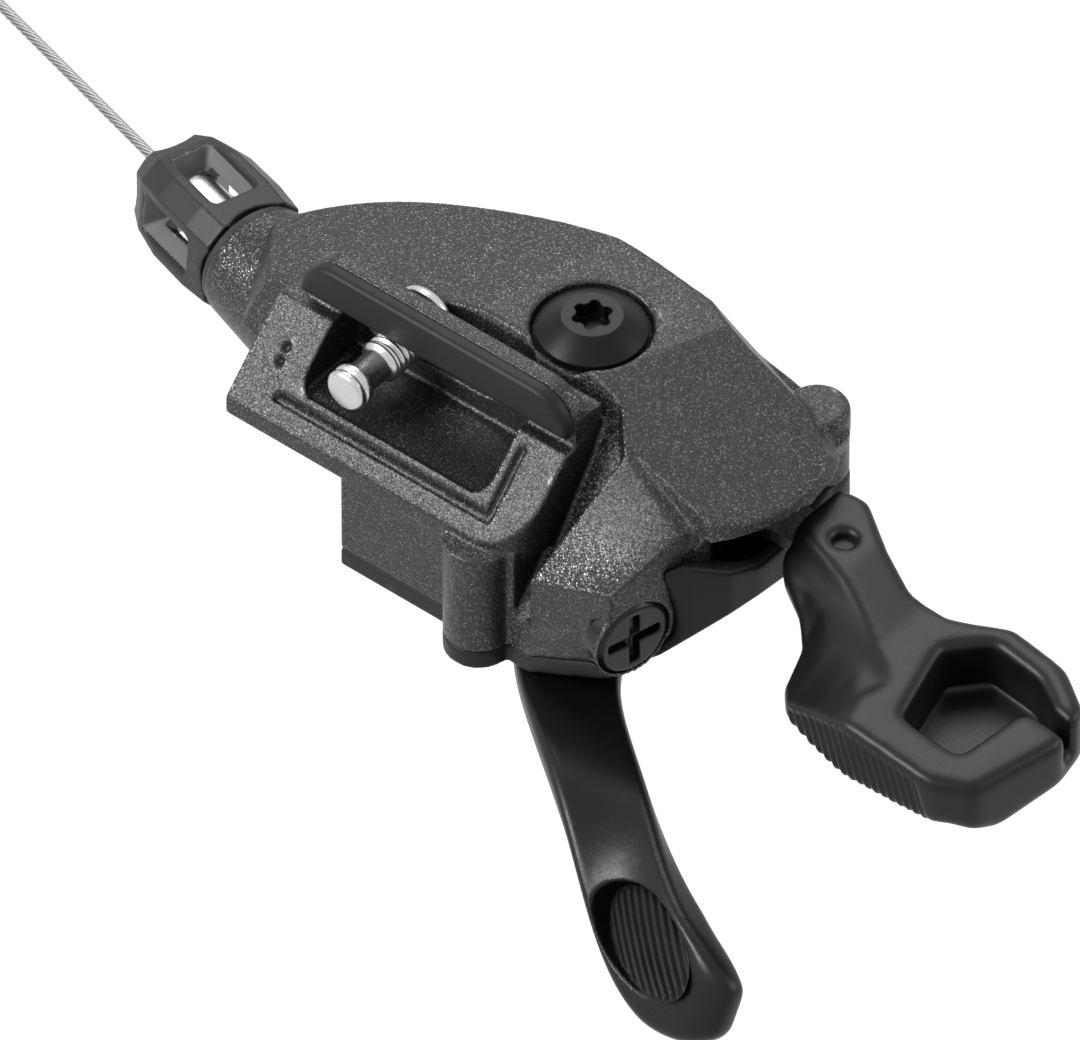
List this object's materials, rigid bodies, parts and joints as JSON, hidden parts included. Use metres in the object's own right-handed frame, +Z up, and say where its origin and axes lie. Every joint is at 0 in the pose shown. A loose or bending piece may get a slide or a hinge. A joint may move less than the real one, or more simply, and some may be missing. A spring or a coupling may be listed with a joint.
{
  "type": "trigger gear shifter",
  "caption": "Right-hand trigger shifter for a handlebar: domed case with a slotted bracket and stud, a thumb lever, a release lever with a finger cup, a barrel adjuster and its inner cable.",
  "frame": {"origin": "on the mounting stud's axis, in the slotted wall that the stud slides in", "axes": "+X along the bracket's rail towards the levers, +Y away from the stud's tip, +Z up along the main axle, out of the case's top"},
  "size_m": [0.1752, 0.0623, 0.0486],
  "materials": {
    "case_paint": "dark grey paint with fine metal fleck, satin",
    "frame_black": "satin black moulding",
    "lever_black": "semi-gloss black",
    "grip_black": "ribbed, matt black",
    "black_metal": "black, satin",
    "steel": "turned and plated",
    "spring_steel": "drawn wire",
    "cable_steel": "stranded wire",
    "tube_silver": "turned, satin",
    "bush_brass": "turned"
  },
  "bodies": {
    "housing": {"upper_case": "case_paint", "lower_cover": "frame_black", "rail_cap": "frame_black", "axle_cap_screw": "black_metal", "cable_hole_plug": "frame_black", "base_plate": "steel", "main_axle": "steel", "axle_nut": "steel", "axle_washer": "steel", "cover_screws": "black_metal", "release_pivot_pin": "steel", "hold_pawl_pin": "steel", "adjuster_seat": "steel", "adjuster_ring": "frame_black", "drum_spring": "spring_steel", "lever_spring": "spring_steel", "release_spring": "spring_steel"},
    "main_lever": {"main_lever": "lever_black", "lever_grip": "grip_black", "lever_bush": "bush_brass", "pawl_carrier": "steel", "winding_pawl": "steel", "winding_pawl_pin": "steel"},
    "drum": {"winding_drum": "frame_black", "drum_bush": "bush_brass", "winding_ratchet": "steel", "hold_ratchet": "steel", "cable_wrap": "cable_steel", "cable_nipple": "steel"},
    "cable": {"inner_cable": "cable_steel", "cable_tail": "cable_steel", "cable_end_cap": "tube_silver"},
    "release_lever": {"release_plate": "steel", "release_pad": "grip_black", "release_pad_pin": "black_metal"},
    "hold_pawl": {"hold_pawl": "steel"},
    "adjuster": {"adjuster_barrel": "frame_black", "adjuster_bolt": "tube_silver"},
    "mount_stud": {"mount_stud": "steel", "stud_head": "steel"}
  },
  "joints": [
    {"name": "main_lever_turn", "type": "hinge", "parent": "housing", "child": "main_lever", "pos_m": [0.017, 0.0094, -0.027], "axis": [0, 0, 1], "range_deg": [0, 38], "stiffness_Nm_per_rad": 0.5},
    {"name": "drum_turn", "type": "hinge", "parent": "housing", "child": "drum", "pos_m": [0.017, 0.0094, -0.015], "axis": [0, 0, 1], "range_deg": [0, 38]},
    {"name": "cable_pull", "type": "slide", "parent": "housing", "child": "cable", "axis": [0.9636, -0.2672, 0], "range_m": [0, 0.00825]},
    {"name": "release_turn", "type": "hinge", "parent": "housing", "child": "release_lever", "pos_m": [0.039, 0.0105, -0.009], "axis": [0, 0, 1], "range_deg": [-12, 12], "stiffness_Nm_per_rad": 0.4},
    {"name": "hold_pawl_turn", "type": "hinge", "parent": "housing", "child": "hold_pawl", "pos_m": [0.03205, 0.0073, -0.0108], "axis": [0, 0, 1], "range_deg": [-6.1, 6.1]},
    {"name": "adjuster_turn", "type": "hinge", "parent": "housing", "child": "adjuster", "pos_m": [-0.0345, 0.01081, -0.015], "axis": [-0.9636, 0.2672, 0], "continuous": true},
    {"name": "stud_slide", "type": "slide", "parent": "housing", "child": "mount_stud", "axis": [1, 0, 0], "range_m": [-0.0042, 0.0098]}
  ],
  "couplings": [
    {"joint": "drum_turn", "follows": "main_lever_turn", "ratio": 1},
    {"joint": "cable_pull", "follows": "main_lever_turn", "m_per_rad": 0.0124},
    {"joint": "hold_pawl_turn", "follows": "release_turn", "ratio": 0.5}
  ]
}
